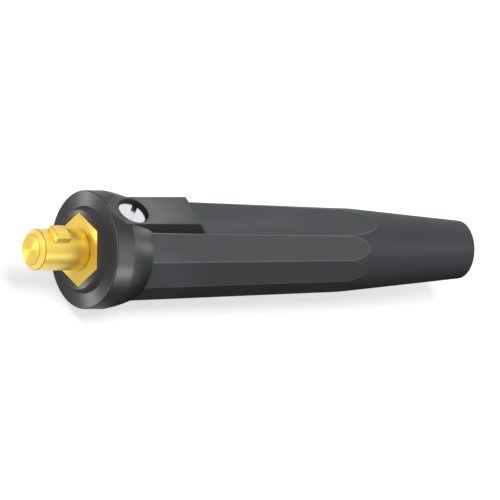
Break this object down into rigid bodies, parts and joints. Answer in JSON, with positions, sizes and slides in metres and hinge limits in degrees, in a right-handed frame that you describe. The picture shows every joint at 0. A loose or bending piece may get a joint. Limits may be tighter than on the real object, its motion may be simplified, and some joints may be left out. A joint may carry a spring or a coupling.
{
  "type": "welding cable plug",
  "caption": "Male welding cable plug: a round brass bayonet pin with a key on a hexagon root, in a long faceted black insulator held by a slotted screw.",
  "frame": {"origin": "middle of the hexagon's front face, at the root of the pin", "axes": "-X along the pin towards its nose, +X towards the cable end, +Z out of the pad with the retaining screw"},
  "size_m": [0.1138, 0.0258, 0.0256],
  "materials": {
    "insulator": "smooth moulded black, satin",
    "contact_brass": "turned and bright",
    "ferrule_copper": "bare rolled copper",
    "screw_nickel": "bright nickel plate",
    "set_screw_steel": "black oxide"
  },
  "bodies": {
    "plug_body": {"insulator": "insulator", "contact": "contact_brass", "conductor_ferrule": "ferrule_copper", "front_set_screw": "set_screw_steel", "rear_set_screw": "set_screw_steel"},
    "screw_body": {"retaining_screw": "screw_nickel"}
  },
  "joints": [
    {"name": "retaining_screw_travel", "type": "slide", "parent": "plug_body", "child": "screw_body", "axis": [0, 0, 1], "range_m": [0, 0.0042]}
  ]
}
